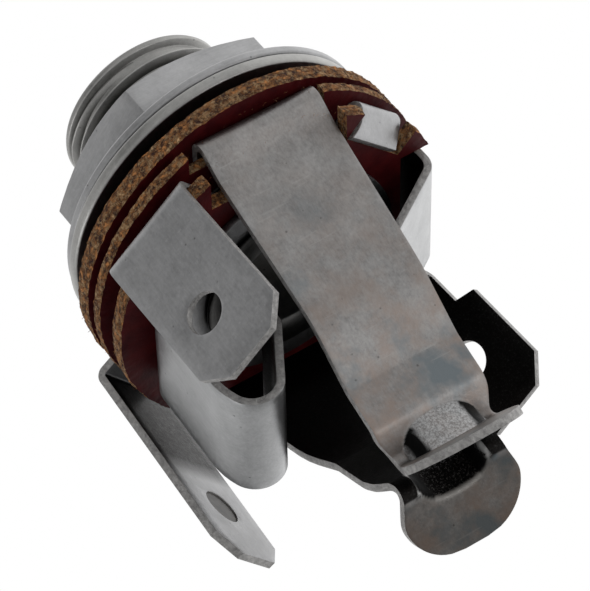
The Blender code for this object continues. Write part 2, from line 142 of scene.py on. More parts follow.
def soften(thing, width, angle=35.0, segments=2):
    """Round the sharp edges, then shade the rest smooth."""
    edge = thing.modifiers.new("soft edge", "BEVEL")
    edge.width = width
    edge.segments = segments
    edge.limit_method = "ANGLE"
    edge.angle_limit = math.radians(angle)
    apply_all(thing)
    bpy.ops.object.shade_smooth_by_angle(angle=math.radians(40.0))


def clamp(value):
    """Keep a value between nothing and one."""
    return max(0.0, min(1.0, value))


def triangles(thing):
    return sum(len(face.vertices) - 2 for face in thing.data.polygons)


def new_marks(thing, *titles):
    """Add a mark for each title."""
    for title in titles:
        thing.data.attributes.new(title, "FLOAT", "POINT")
    return [thing.data.attributes[title].data for title in titles]


def columns(table):
    """Split a table of sizes into one dictionary for each piece."""
    return [dict(zip(table, column)) for column in zip(*table.values())]


def round_bar(radius, depth, place, tilt):
    """A round bar along x, tilted by some degrees."""
    bpy.ops.mesh.primitive_cylinder_add(
        vertices=48,
        radius=radius,
        depth=depth,
        location=place,
        rotation=(0.0, math.radians(90.0 + tilt), 0.0),
    )
    bar = bpy.context.object
    settle(bar)
    return bar


def cut_away(thing, cutter, material_mode):
    """Cut a piece with another, and remove the cutter."""
    change = thing.modifiers.new("cut", "BOOLEAN")
    change.object = cutter
    change.solver = "EXACT"
    change.material_mode = material_mode
    apply_all(thing)
    bpy.data.objects.remove(cutter)


# %% [markdown]
# ## Sizes
# The stack of washers and contact plates sits on the barrel behind the flange. These are the
# heights of each layer, from the flange to the rolled rim. The rear plates' order is a guess.

# %% Sizes of the stack
sheet = 0.42 * mm
layers = {
    "front fibre": (1.80 * mm, 2.72 * mm),
    "upper contact": (2.77 * mm, 3.19 * mm),
    "middle fibre": (3.24 * mm, 3.84 * mm),
    "lower contact": (3.89 * mm, 4.31 * mm),
    "right contact": (4.51 * mm, 4.93 * mm),
    "rear fibre": (4.98 * mm, 5.78 * mm),
    "left contact": (5.83 * mm, 6.25 * mm),
}
spring_width = 6.7 * mm


def middle(layer):
    return sum(layers[layer]) / 2.0


print(len(layers), "layers")

# %% [markdown]
# ## Noise for metal
# Old nickel plate is never one grey. It has cloudy blotches, fine grain, streaks from the
# rollers, and small dark pits. One node group makes the four as plain values for all the plated
# metals.


# %% Node helpers
def new_node(tree, kind, **settings):
    made = tree.nodes.new(kind)
    for name, value in settings.items():
        setattr(made, name, value)
    return made


def shade_noise(tree, place, scale, detail=3.0, roughness=0.55):
    made = new_node(tree, "ShaderNodeTexNoise")
    made.inputs["Scale"].default_value = scale
    made.inputs["Detail"].default_value = detail
    made.inputs["Roughness"].default_value = roughness
    tree.links.new(place, made.inputs["Vector"])
    return made.outputs["Fac"]


def stretched(tree, place, amounts, turn=(0.0, 0.0, 0.0)):
    made = new_node(tree, "ShaderNodeMapping")
    made.inputs["Scale"].default_value = amounts
    made.inputs["Rotation"].default_value = turn
    tree.links.new(place, made.inputs["Vector"])
    return made.outputs["Vector"]


def remap(tree, value, low, high, new_low=0.0, new_high=1.0):
    made = new_node(tree, "ShaderNodeMapRange")
    made.inputs["From Min"].default_value = low
    made.inputs["From Max"].default_value = high
    made.inputs["To Min"].default_value = new_low
    made.inputs["To Max"].default_value = new_high
    tree.links.new(value, made.inputs["Value"])
    return made.outputs["Result"]


def calculate(tree, operation, first, second):
    made = new_node(tree, "ShaderNodeMath", operation=operation)
    for socket, value in zip(made.inputs, (first, second)):
        if isinstance(value, (int, float)):
            socket.default_value = value
        else:
            tree.links.new(value, socket)
    return made.outputs["Value"]


def times(tree, first, second):
    return calculate(tree, "MULTIPLY", first, second)


def blend_colour(tree, amount, first, second, mode="MIX"):
    made = new_node(tree, "ShaderNodeMix", data_type="RGBA", blend_type=mode)
    for name, value in (("Factor", amount), ("A", first), ("B", second)):
        socket = [s for s in made.inputs if s.name == name and s.enabled][0]
        if isinstance(value, tuple):
            socket.default_value = (*value, 1.0)
        elif isinstance(value, float):
            socket.default_value = value
        else:
            tree.links.new(value, socket)
    return [s for s in made.outputs if s.enabled][0]


def new_finish(name, roughness, metallic=0.0):
    """A material with its tree, its shader, and the place of a point in millimetres."""
    made = bpy.data.materials.new(name)
    made.use_nodes = True
    tree = made.node_tree
    shader = tree.nodes["Principled BSDF"]
    shader.inputs["Metallic"].default_value = metallic
    shader.inputs["Roughness"].default_value = roughness
    where = new_node(tree, "ShaderNodeTexCoord").outputs["Object"]
    return made, tree, shader, stretched(tree, where, (1000.0, 1000.0, 1000.0))


def paint(tree, shader, amount, first, second):
    """Colour a finish with a blend of two colours."""
    shade = blend_colour(tree, amount, first, second)
    tree.links.new(shade, shader.inputs["Base Color"])


def add_bump(tree, shader, height, strength, distance=0.0001):
    bumps = new_node(tree, "ShaderNodeBump")
    bumps.inputs["Strength"].default_value = strength
    bumps.inputs["Distance"].default_value = distance
    tree.links.new(height, bumps.inputs["Height"])
    tree.links.new(bumps.outputs["Normal"], shader.inputs["Normal"])


print("Node helpers ready")

# %% Group of metal noises
metal_noise = bpy.data.node_groups.new("plate wear", "ShaderNodeTree")
tree = metal_noise
for title in ("Place", "Streak Place"):
    tree.interface.new_socket(title, in_out="INPUT", socket_type="NodeSocketVector")
for title in ("Clouds", "Grain", "Streaks", "Pits"):
    tree.interface.new_socket(title, in_out="OUTPUT", socket_type="NodeSocketFloat")
entry = tree.nodes.new("NodeGroupInput")
result = tree.nodes.new("NodeGroupOutput")
place = entry.outputs["Place"]
clouds = shade_noise(tree, place, 0.55, 5.0, 0.62)
grain = shade_noise(tree, place, 4.0, 5.0, 0.78)
streaks = shade_noise(tree, entry.outputs["Streak Place"], 1.0, 3.0, 0.6)
pit_cells = new_node(tree, "ShaderNodeTexVoronoi")
pit_cells.inputs["Scale"].default_value = 1.7
tree.links.new(place, pit_cells.inputs["Vector"])
pit_gate = remap(tree, shade_noise(tree, place, 1.3, 2.0), 0.52, 0.6)
pit_spot = remap(tree, pit_cells.outputs["Distance"], 0.05, 0.13, 1.0, 0.0)
tree.links.new(remap(tree, clouds, 0.3, 0.7), result.inputs["Clouds"])
tree.links.new(remap(tree, grain, 0.3, 0.7), result.inputs["Grain"])
tree.links.new(remap(tree, streaks, 0.32, 0.68), result.inputs["Streaks"])
tree.links.new(times(tree, pit_gate, pit_spot), result.inputs["Pits"])
print("Metal noise group has", len(tree.nodes), "nodes")

# %% [markdown]
# ## Finishes
# The metal is lustreless nickel plate, blotched, scratched and pitted, and it has painted shade
# where other pieces box it in. The blades of the tip springs also carry a brown tarnish that
# grows towards their ends. Marks on the mesh say where metal is pressed and scuffed, and where
# painted
# shade goes: black on sides that face the axis, near-black at torn ends. One more mark darkens a
# tongue, and a painted highlight runs round a pocket's rim. Where the press has cut the sheet,
# the edge is rough. Colours are written in linear light, and one millimetre is one unit of the
# noises.


# %% Metal finish
def painted_occlusion_shade(tree, shade, reach=3.0, depth=0.12):
    """Painted shade: darken a colour where the piece is boxed in by others."""
    boxed = new_node(tree, "ShaderNodeAmbientOcclusion", samples=8)
    boxed.inputs["Distance"].default_value = reach * mm
    openness = remap(tree, boxed.outputs["AO"], 0.12, 0.85, depth, 1.0)
    grey = new_node(tree, "ShaderNodeCombineColor")
    for channel in ("Red", "Green", "Blue"):
        tree.links.new(openness, grey.inputs[channel])
    return blend_colour(tree, 1.0, shade, grey.outputs["Color"], "MULTIPLY")


def read_mark(tree, name):
    made = new_node(tree, "ShaderNodeAttribute", attribute_name=name)
    return made.outputs["Fac"]


def marked(tree, in_mm, shade):
    """Colour what the marks say: scuffed pressed metal, a darker tongue, painted shade and
    highlights.
    """
    pressed, pocket = read_mark(tree, "pressed"), read_mark(tree, "pocket")
    speckle = remap(tree, shade_noise(tree, in_mm, 8.0, 4.0, 0.8), 0.42, 0.6)
    scuffed = blend_colour(tree, speckle, (0.26, 0.26, 0.26), (0.68, 0.69, 0.7))
    shade = blend_colour(tree, times(tree, pressed, 0.7), shade, scuffed)
    # Painted shade: marked places go black, with small specks of painted highlight in the black.
    painted_glint = remap(tree, shade_noise(tree, in_mm, 9.0, 5.0, 0.85), 0.54, 0.62)
    painted_glint = times(tree, painted_glint, calculate(tree, "ADD", pressed, 0.08))
    black = blend_colour(tree, painted_glint, (0.012, 0.011, 0.0105), (0.3, 0.3, 0.3))
    shade = blend_colour(tree, read_mark(tree, "inside"), shade, black)
    # Painted highlight: a lighter band round the rim of the lower spring's pocket.
    rim = calculate(tree, "SUBTRACT", 1.0, pressed)
    rim = times(tree, times(tree, rim, pressed), 3.4)
    rim = times(tree, rim, pocket)
    shade = blend_colour(tree, rim, shade, (0.5, 0.5, 0.49))
    # The tongue past the vee is darkened.
    darker_tongue = times(tree, read_mark(tree, "darker_tongue"), pocket)
    shade = blend_colour(tree, darker_tongue, shade, (0.52, 0.5, 0.48), "MULTIPLY")
    # Painted shade: the torn ends of the saddle go near-black.
    return blend_colour(tree, read_mark(tree, "torn"), shade, (0.01, 0.01, 0.01))


def plated(name, colour, roughness, streak_scale, tarnish=0.0, contrast=0.3, pit=0.6, **boxed):
    """Old nickel plate, with painted shade where it is boxed in. boxed may say how far and how
    much that painted shade darkens.
    """
    made, tree, shader, in_mm = new_finish(name, roughness, 1.0)
    wear = new_node(tree, "ShaderNodeGroup")
    wear.node_tree = metal_noise
    tree.links.new(in_mm, wear.inputs["Place"])
    tree.links.new(stretched(tree, in_mm, streak_scale), wear.inputs["Streak Place"])
    dark = tuple(value * (1.0 - contrast) for value in colour)
    light = tuple(min(value * (1.0 + contrast), 1.0) for value in colour)
    cloudy = times(tree, wear.outputs["Clouds"], 0.4)
    fine = times(tree, wear.outputs["Grain"], 0.4)
    lined = times(tree, wear.outputs["Streaks"], 0.2)
    mixed = calculate(tree, "ADD", calculate(tree, "ADD", cloudy, fine), lined)
    shade = blend_colour(tree, mixed, dark, light)
    if tarnish:
        height = new_node(tree, "ShaderNodeSeparateXYZ")
        tree.links.new(in_mm, height.inputs["Vector"])
        rising = remap(tree, height.outputs["Z"], 7.0, 17.0, 0.25, 1.0)
        patchy = remap(tree, shade_noise(tree, in_mm, 0.42, 6.0, 0.66), 0.42, 0.62)
        amount = times(tree, times(tree, rising, patchy), tarnish)
        brown = (colour[0] * 1.02, colour[1] * 0.84, colour[2] * 0.74)
        shade = blend_colour(tree, amount, shade, brown)
        cold = remap(tree, shade_noise(tree, in_mm, 0.33, 4.0, 0.6), 0.52, 0.66)
        blue = (colour[0] * 0.62, colour[1] * 0.72, colour[2] * 0.78)
        shade = blend_colour(tree, times(tree, cold, rising), shade, blue)
    hair = stretched(tree, in_mm, (5.0, 0.35, 5.0), (0.4, 0.9, 0.7))
    scratch = remap(tree, shade_noise(tree, hair, 1.0, 2.0, 0.4), 0.68, 0.72, 0.0, 0.2)
    shade = blend_colour(tree, scratch, shade, tuple(min(1.0, value * 1.5) for value in colour))
    pitted = times(tree, wear.outputs["Pits"], pit)
    shade = blend_colour(tree, pitted, shade, tuple(value * 0.22 for value in colour))
    # Painted shade where the piece is boxed in, then the colours of the marks.
    shade = marked(tree, in_mm, painted_occlusion_shade(tree, shade, **boxed))
    tree.links.new(shade, shader.inputs["Base Color"])
    rough = remap(tree, wear.outputs["Grain"], 0.0, 1.0, roughness - 0.07, roughness + 0.1)
    tree.links.new(rough, shader.inputs["Roughness"])
    relief = calculate(tree, "ADD", fine, times(tree, lined, 0.8))
    sunk = times(tree, wear.outputs["Pits"], 0.8)
    add_bump(tree, shader, calculate(tree, "SUBTRACT", relief, sunk), 0.12)
    return made


along = (9.0, 9.0, 0.7)
across = (1.2, 1.2, 16.0)
blade_metal = plated("blade plate", (0.375, 0.366, 0.36), 0.42, along, 0.85, contrast=0.45)
lug_metal = plated("lug plate", (0.42, 0.42, 0.425), 0.40, along)
# The hairpins get deep, far-reaching painted shade where other pieces box them in.
hairpin_metal = plated(
    "hairpin plate", (0.42, 0.424, 0.428), 0.38, along, reach=7.0, depth=0.03
)
bushing_metal = plated("bushing plate", (0.47, 0.465, 0.45), 0.36, across, contrast=0.28)
nut_metal = plated("nut plate", (0.46, 0.46, 0.465), 0.40, across, contrast=0.28, pit=0.9)
print("Metals:", [m.name for m in bpy.data.materials if m.name.endswith("plate")])


# %% Sheared edge finish
cut_edge, tree, shader, in_mm = new_finish("sheared edge", 0.5, 1.0)
torn = remap(tree, shade_noise(tree, in_mm, 3.2, 5.0, 0.75), 0.34, 0.66)
paint(tree, shader, torn, (0.26, 0.255, 0.25), (0.52, 0.51, 0.5))
add_bump(tree, shader, torn, 0.5)
print("Cut edge finish:", cut_edge.name)

# %% [markdown]
# ## Fibre
# The insulating washers are vulcanised fibre, dark red and faintly glossy on their faces.
# Their punched rims are coarse and tan, with dark gaps between the fibres. A third finish is the
# black of the hidden insulators, partly painted shade of the dark recess they sit in.

# %% Fibre finishes
fibre_face, tree, shader, in_mm = new_finish("fibre face", 0.55)
shader.inputs["Specular IOR Level"].default_value = 0.18
cloud = remap(tree, shade_noise(tree, in_mm, 0.9, 5.0, 0.6), 0.35, 0.65)
paint(tree, shader, cloud, (0.045, 0.0012, 0.003), (0.085, 0.005, 0.006))
add_bump(tree, shader, shade_noise(tree, in_mm, 6.0, 3.0), 0.15)

fibre_rim, tree, shader, in_mm = new_finish("fibre rim", 0.85)
threads = shade_noise(tree, stretched(tree, in_mm, (2.6, 2.6, 4.6)), 1.0, 6.0, 0.72)
gaps = remap(tree, threads, 0.40, 0.56)
tips = remap(tree, shade_noise(tree, in_mm, 3.4, 5.0, 0.8), 0.5, 0.6)
tan = blend_colour(tree, gaps, (0.045, 0.012, 0.006), (0.55, 0.23, 0.07))
paint(tree, shader, tips, tan, (0.85, 0.54, 0.27))
add_bump(tree, shader, calculate(tree, "ADD", gaps, tips), 0.9, 0.0002)

# Near-black with dust, partly painted shade of the recess round the hidden insulators.
black_and_shade_sleeve, tree, shader, in_mm = new_finish("black sleeve", 0.5)
dust = remap(tree, shade_noise(tree, in_mm, 3.0, 5.0, 0.7), 0.45, 0.75)
paint(tree, shader, dust, (0.008, 0.006, 0.006), (0.05, 0.045, 0.04))
add_bump(tree, shader, dust, 0.2)
print("Fibre finishes:", fibre_face.name, fibre_rim.name, black_and_shade_sleeve.name)

# %% [markdown]
# ## Turned pieces
# The bushing, all the washers and the contact rings are made as if on a lathe. A ring of points
# is extruded from one corner of the outline to the next, and resized each time, until it meets
# itself again.


# %% Ring by ring
def scaled(outline):
    """An outline in metres, from one in millimetres."""
    return [(radius * mm, height * mm) for radius, height in outline]


def turned(name, outline, segments=128):
    radius, height = outline[0]
    bpy.ops.mesh.primitive_circle_add(vertices=segments, radius=radius, location=(0, 0, height))
    thing = bpy.context.object
    thing.name = name
    thing.data.name = name
    settle(thing)
    edit_all(thing)
    for next_radius, next_height in outline[1:] + outline[:1]:
        bpy.ops.mesh.extrude_edges_move(
            TRANSFORM_OT_translate={"value": (0.0, 0.0, next_height - height)}
        )
        grow = next_radius / radius
        bpy.ops.transform.resize(value=(grow, grow, 1.0), center_override=(0.0, 0.0, next_height))
        radius, height = next_radius, next_height
    bpy.ops.mesh.select_all(action="SELECT")
    bpy.ops.mesh.remove_doubles(threshold=0.000002)
    bpy.ops.mesh.normals_make_consistent(inside=False)
    end_edit()
    return thing


print("Turning helper ready")

# %% [markdown]
# ## Bushing
# One brass piece: the threaded nose, the flange that the panel bears on, the barrel that
# carries the stack, and the rear rim, rolled outwards to hold it all together. The core of the
# nose is turned at the root of the thread, and the thread is a ridge wound round it.

# %% Bushing body
thread_radius = 4.7625 * mm
thread_pitch = 25.4 * mm / 32.0
thread_depth = 0.44 * mm
root_radius = thread_radius - thread_depth
core = root_radius / mm
bushing_outline = [
    (3.2, -7.1),
    (3.5, -7.45),
    (4.35, -7.45),
    (4.62, -7.33),
    (4.72, -7.15),
    (4.70, -6.95),
    (core, -6.8),
    (core, -0.55),
    (core + 0.2, -0.3),
    (core + 0.2, 0.0),
    (8.82, 0.0),
    (8.95, 0.13),
    (8.95, 0.55),
    (8.85, 0.70),
    (4.1, 0.70),
    (4.1, 6.30),
    (4.82, 6.32),
    (4.9, 6.42),
    (4.86, 6.54),
    (4.65, 6.63),
    (3.9, 6.65),
    (3.45, 6.6),
    (3.2, 6.4),
]
bushing = turned("bushing_body", scaled(bushing_outline))
for point in bushing.data.vertices:
    if point.co.z > 6.35 * mm:
        uneven = noise.noise(point.co * 900.0) * 0.07 * mm
        point.co += Vector((point.co.x, point.co.y, 0.0)).normalized() * uneven
bushing.data.materials.append(bushing_metal)
soften(bushing, 0.05 * mm)
# Painted shade: the barrel and the rolled rim behind the flange are marked to go mostly black.
(barrel_marks,) = new_marks(bushing, "inside")
for point in bushing.data.vertices:
    barrel_marks[point.index].value = 0.8 if point.co.z > 1.0 * mm else 0.0
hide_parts("bushing")
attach(bushing, "jack")
print("Bushing body:", triangles(bushing), "triangles")

# %% Thread
bpy.ops.mesh.primitive_plane_add(size=1.0, location=(0, 0, 0))
thread = bpy.context.object
thread.name = "bushing_thread"
crest = thread_pitch * 0.05
foot = thread_pitch * 0.40
foot_radius = root_radius - 0.05 * mm
crest_radius = thread_radius - 0.005 * mm
thread_start = -6.72 * mm
fading_steps = 22.0
profile = [
    (foot_radius, -foot),
    (crest_radius, -crest),
    (foot_radius, foot),
    (crest_radius, crest),
]
for point, (radius, height) in zip(thread.data.vertices, profile):
    point.co = (radius, 0.0, height + thread_start)
edit_all(thread)
bpy.ops.mesh.delete(type="ONLY_FACE")
end_edit()
winding = thread.modifiers.new("winding", "SCREW")
winding.axis = "Z"
winding.angle = math.tau
winding.screw_offset = thread_pitch
winding.iterations = 7
winding.steps = 96
apply_all(thread)
last_step = len(thread.data.vertices) // 4 - 1
for point in thread.data.vertices:
    step = point.index // 4
    grown = min(1.0, min(step, last_step - step) / fading_steps)
    level = Vector((point.co.x, point.co.y, 0.0))
    radius = foot_radius + (level.length - foot_radius) * grown
    point.co += level.normalized() * (radius - level.length)
edit_all(thread)
bpy.ops.mesh.remove_doubles(threshold=0.000001)
bpy.ops.mesh.select_all(action="DESELECT")
bpy.ops.mesh.select_non_manifold()
bpy.ops.mesh.fill_holes(sides=4)
bpy.ops.mesh.select_all(action="SELECT")
bpy.ops.mesh.normals_make_consistent(inside=False)
end_edit()
thread.data.materials.append(bushing_metal)
soften(thread, 0.03 * mm, 30.0)
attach(thread, "jack")
print("Thread:", triangles(thread), "triangles,", [round(v / mm, 2) for v in thread.dimensions])

# %% [markdown]
# ## Nut and washer
# The nut is a chamfered hexagon. Its CAD shape is right, so its edges are only softened on a
# copy. The flat washer is turned, with worn round edges, and lies a little off
# centre, as its bore is wider than the thread.


# %% Nut
def softened_copy(node, name, width, finish):
    thing = bpy.data.objects.new(name, frame["nodes"][node].data.copy())
    bpy.context.scene.collection.objects.link(thing)
    edit_all(thing)
    bpy.ops.mesh.remove_doubles(threshold=0.000002)
    bpy.ops.mesh.dissolve_limited(angle_limit=math.radians(1.0))
    end_edit()
    thing.data.materials.clear()
    thing.data.materials.append(finish)
    soften(thing, width)
    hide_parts(node)
    return thing


nut = softened_copy("hex_nut", "nut", 0.07 * mm, nut_metal)
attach(nut, "nut")
print("Nut:", triangles(nut), "triangles")

# %% Flat washer
washer_outline = [
    (4.96, -0.60),
    (8.76, -0.60),
    (8.85, -0.50),
    (8.85, -0.16),
    (8.74, -0.05),
    (4.96, -0.05),
]
washer = turned("washer", scaled(washer_outline))
washer.data.materials.append(nut_metal)
soften(washer, 0.03 * mm)
for point in washer.data.vertices:
    point.co.y -= 0.15 * mm
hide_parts("flat_washer")
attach(washer, "washer")
print("Washer:", triangles(washer), "triangles")

# %% [markdown]
# ## Bending sheet metal
# Every contact begins as a flat strip. Its newest row of points is extruded and moved on, and
# turned a little at each step of a bend, as a press folds the metal. The list of steps is kept,
# so that widths and pressed shapes can be set row by row before the strip gets its thickness.


# %% Folding helper
strip_start = 5.6 * mm
coarse_step = 0.7 * mm


def fold(layer, moves):
    """Rows of a strip as (radius, height, heading, travelled), from runs and bends."""
    radius, height, heading, travelled = strip_start, middle(layer), 0.0, 0.0
    rows = [(radius, height, heading, travelled)]
    for move in moves:
        if move[0] == "run":
            step = move[2] if len(move) > 2 else coarse_step
            parts = max(1, math.ceil(move[1] / step))
            turn, stride = 0.0, move[1] / parts
        else:
            parts = max(2, math.ceil(abs(move[2]) / 6.0))
            turn = math.radians(move[2]) / parts
            stride = 2.0 * move[1] * math.sin(abs(turn) / 2.0)
        for _ in range(parts):
            heading += turn / 2.0
            radius += math.cos(heading) * stride
            height += math.sin(heading) * stride
            heading += turn / 2.0
            travelled += stride
            rows.append((radius, height, heading, travelled))
    return rows


def root_moves(outer, inner, turn):
    """Run out along the plate and bend up, so that the outer face stands at a radius."""
    turn_radius = inner + sheet / 2.0
    return [("run", outer - sheet / 2.0 - turn_radius - strip_start), ("bend", turn_radius, turn)]


print("Folding helper ready")


# %% Strip helper
def strip(name, rows, columns, width_at):
    """Extrude a strip along its rows, and set each row's width."""
    first, second = rows[0], rows[1]
    bpy.ops.mesh.primitive_grid_add(x_subdivisions=1, y_subdivisions=columns, size=1.0)
    thing = bpy.context.object
    thing.name = name
    thing.data.name = name
    thing.scale = (second[0] - first[0], spring_width, 1.0)
    thing.location = ((first[0] + second[0]) / 2.0, 0.0, first[1])
    settle(thing)
    select_beyond(thing, second[0] - 0.01 * mm)
    for before, after in zip(rows[1:], rows[2:]):
        bpy.ops.mesh.extrude_edges_move(
            TRANSFORM_OT_translate={"value": (after[0] - before[0], 0.0, after[1] - before[1])}
        )
    end_edit()
    points = list(thing.data.vertices)
    first_rows = sorted(points[: 2 * (columns + 1)], key=lambda point: (point.co.x, point.co.y))
    points = first_rows + points[2 * (columns + 1) :]
    for number, (radius, height, heading, travelled) in enumerate(rows):
        row = points[number * (columns + 1) : (number + 1) * (columns + 1)]
        low, high = width_at(travelled)
        for column, point in enumerate(sorted(row, key=lambda point: point.co.y)):
            side = low + (high - low) * column / columns
            point.co = Vector((radius, side, height))
    return thing


def thicken(thing, finish, even_normals=True):
    """Give a flat strip the thickness of the sheet, with sheared edges."""
    edit_all(thing)
    bpy.ops.mesh.normals_make_consistent(inside=False)
    end_edit()
    thing.data.materials.append(finish)
    thing.data.materials.append(cut_edge)
    metal = thing.modifiers.new("sheet", "SOLIDIFY")
    metal.thickness = sheet
    metal.offset = 0.0
    metal.use_even_offset = True
    metal.use_quality_normals = even_normals
    metal.material_offset_rim = 1
    apply_all(thing)


def turn_to(thing, azimuth):
    """Turn a piece about the jack's axis."""
    thing.rotation_euler = (0.0, 0.0, math.radians(azimuth))
    settle(thing)


def finish_strip(thing, azimuth, finish):
    """Turn a flat strip into sheet metal and set it at its side."""
    thicken(thing, finish)
    turn_to(thing, azimuth)
    soften(thing, 0.05 * mm, 50.0)


def mark_painted_shade(thing, azimuth, high=0.7, top=1.0, within=0.0, apex=None):
    """Mark points that look at the axis for black painted shade, and a tongue past its vee as
    darker.

    top is a height above which nothing is marked. Nearer the axis than within, both sides are.
    """
    low = 0.5
    outward = Vector((math.cos(math.radians(azimuth)), math.sin(math.radians(azimuth)), 0.0))
    inside, darker_tongue = new_marks(thing, "inside", "darker_tongue")
    for number, point in enumerate(thing.data.vertices):
        facing = -point.normal.dot(outward)
        if point.co.dot(outward) < within:
            facing = abs(facing)
        amount = clamp((facing - low) / (high - low))
        amount *= clamp((top - point.co.z) / (0.8 * mm))
        if apex:
            past = (point.co.dot(outward) - apex[0] - 0.25 * mm) / (0.2 * mm)
            past = clamp(past) if point.co.z > apex[1] - 0.5 * mm else 0.0
            amount *= 1.0 - past
            darker_tongue[number].value = past
        inside[number].value = amount


print("Strip helper ready")

# %% [markdown]
# ## Tip springs
# A tip spring leans in towards the axis, bows a little, and ends in a pressed vee that holds
# the plug's groove, with a round tongue flared outwards to lead the plug in. A saddle is pressed
# out of the vee, so that it hugs the plug. Both springs come from one die and differ slightly in
# how they have been bent since. The upper one also stands a little to one side at its root.


# %% Shape of a tip spring
half_spring = spring_width / 2.0
spring_columns = 40
saddle_height = 0.95 * mm
saddle_half_width = 2.15 * mm


def round_tongue(total, vee):
    """Full width, drawn in at the vee, with a rounded end."""
    corner = 2.7 * mm
    waist = 0.45 * mm

    def width_at(travelled):
        drop = max(0.0, corner - (total - travelled))
        half = half_spring - corner + math.sqrt(max(corner**2 - drop**2, 0.0))
        away = (travelled - vee) / ((1.7 if travelled < vee else 2.2) * mm)
        if abs(away) < 1.0:
            half -= waist * math.cos(away * math.pi / 2.0) ** 2
        half = max(half, 0.3 * mm)
        return -half, half

    return width_at


def soft_step(value):
    """Zero well below nothing, the value itself well above it, and a smooth bend between."""
    width = 0.14 * mm
    if value < -width:
        return 0.0
    if value > width:
        return value
    return (value + width) ** 2 / (4.0 * width)


def press_saddle(thing, rows, vee_row):
    """Push the middle of the vee out along the line that halves its angle."""
    heading = (rows[vee_row - 6][2] + rows[vee_row + 6][2]) / 2.0
    out = Vector((math.sin(heading), 0.0, -math.cos(heading)))
    apex = Vector((rows[vee_row][0], 0.0, rows[vee_row][1]))
    in_row = spring_columns + 1
    points = list(thing.data.vertices)[2 * in_row :]
    pressed, torn = new_marks(thing, "pressed", "torn")
    for number in range(vee_row - 30, min(vee_row + 30, len(rows))):
        for point in points[(number - 2) * in_row : (number - 1) * in_row]:
            across = abs(point.co.y) / saddle_half_width
            if across >= 1.0:
                continue
            raised = saddle_height * math.sqrt(1.0 - across**2.4)
            level = (Vector((point.co.x, 0.0, point.co.z)) - apex).dot(out)
            lift = soft_step(raised - level)
            point.co += out * lift
            pressed[point.index].value = min(1.0, lift / (0.15 * mm))
            # The torn ends of the pressed saddle are marked for near-black painted shade.
            end = clamp((across - 0.6) / 0.05) * min(1.0, lift / (0.1 * mm))
            torn[point.index].value = end * clamp((0.97 - across) / 0.05)


def mark_pocket_shade(thing):
    """From inside, the pressed pocket gets black painted shade, and a painted highlight on its
    rim.
    """
    (pocket,) = new_marks(thing, "pocket")
    pressed = thing.data.attributes["pressed"].data
    inside = thing.data.attributes["inside"].data
    for number in range(len(thing.data.vertices)):
        pocket[number].value = 1.0
        inside[number].value = max(inside[number].value, pressed[number].value)


def tip_spring(name, layer, outer, azimuth, shape, node):
    """Angles of shape are in degrees, and its lengths and radii in millimetres."""
    fine = 0.14 * mm
    moves = root_moves(outer, 0.35 * mm, 90.0 + shape["lean"] + shape["relax"])
    moves += [
        ("run", 0.92 * mm),
        ("bend", 3.0 * mm, -shape["relax"]),
        ("run", shape["long run"] * mm),
        ("bend", shape["bow radius"] * mm, shape["bow"]),
        ("run", shape["middle run"] * mm),
        ("bend", 0.9 * mm, -shape["kink"]),
        ("run", (shape["flat run"] - 0.8) * mm),
        ("run", 0.8 * mm, fine),
        ("bend", shape["dip radius"] * mm, shape["dip"]),
        ("run", shape["dip run"] * mm, fine),
        ("bend", 0.75 * mm, -shape["flare"]),
        ("run", 1.2 * mm, fine),
        ("run", (shape["tongue"] - 1.2) * mm, 0.12 * mm),
    ]
    before_flare, after_flare = moves[:12], moves[:13]
    vee_row = (len(fold(layer, before_flare)) + len(fold(layer, after_flare))) // 2 - 1
    rows = fold(layer, moves)
    width_at = round_tongue(rows[-1][3], rows[vee_row][3])
    thing = strip(name, rows, spring_columns, width_at)
    press_saddle(thing, rows, vee_row)
    finish_strip(thing, azimuth, blade_metal)
    # Painted shade: the blade's side that faces the axis is marked to go black.
    mark_painted_shade(thing, azimuth, 0.6, apex=rows[vee_row])
    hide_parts(node)
    return thing


print("Tip spring helper ready")

# %% Upper and lower tip springs
# Each size is given for the upper spring, then for the lower.
tip_shapes = {
    "lean": (19.5, 17.0),
    "relax": (16.0, 6.0),
    "long run": (7.0, 4.35),
    "bow": (14.4, 23.0),
    "bow radius": (7.0, 10.1),
    "middle run": (2.77, 2.27),
    "kink": (16.0, 13.9),
    "flat run": (1.83, 2.17),
    "dip": (28.0, 15.5),
    "dip radius": (1.0, 2.2),
    "dip run": (1.15, 1.75),
    "flare": (101.0, 101.0),
    "tongue": (4.05, 3.65),
}
upper_shape, lower_shape = columns(tip_shapes)
upper = tip_spring(
    "upper_tip_spring", "upper contact", 8.65 * mm, 0.0, upper_shape, "tip_spring_upper"
)
lower = tip_spring(
    "lower_tip_spring", "lower contact", 8.75 * mm, 180.0, lower_shape, "tip_spring_lower"
)
# The lower spring's pocket gets painted shade, a painted highlight on its rim and a darker
# tongue.
mark_pocket_shade(lower)
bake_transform(upper)
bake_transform(lower)
# The upper blade narrows and its root stands aside. The lower blade leans sideways.
for point in upper.data.vertices:
    along_blade = clamp((point.co.z - 5.0 * mm) / (16.0 * mm))
    point.co.y *= 1.0 - 0.055 * min(1.0, 2.0 * along_blade)
    point.co.y -= 0.3 * mm * (1.0 - along_blade)
for point in lower.data.vertices:
    point.co.y += 0.1 * mm * clamp((point.co.z - 7.0 * mm) / (12.0 * mm))
print("Tip springs:", triangles(upper), triangles(lower), "triangles")

# %% [markdown]
# ## Sleeve springs
# Two springs are taken to touch the plug's sleeve. The left one rises beside the bore and folds
# back in a hairpin, and the right one turns in low down. The photograph hides their ends, so the
# toes are guesses.


# %% Sleeve springs
def even_width(travelled):
    return -half_spring, half_spring


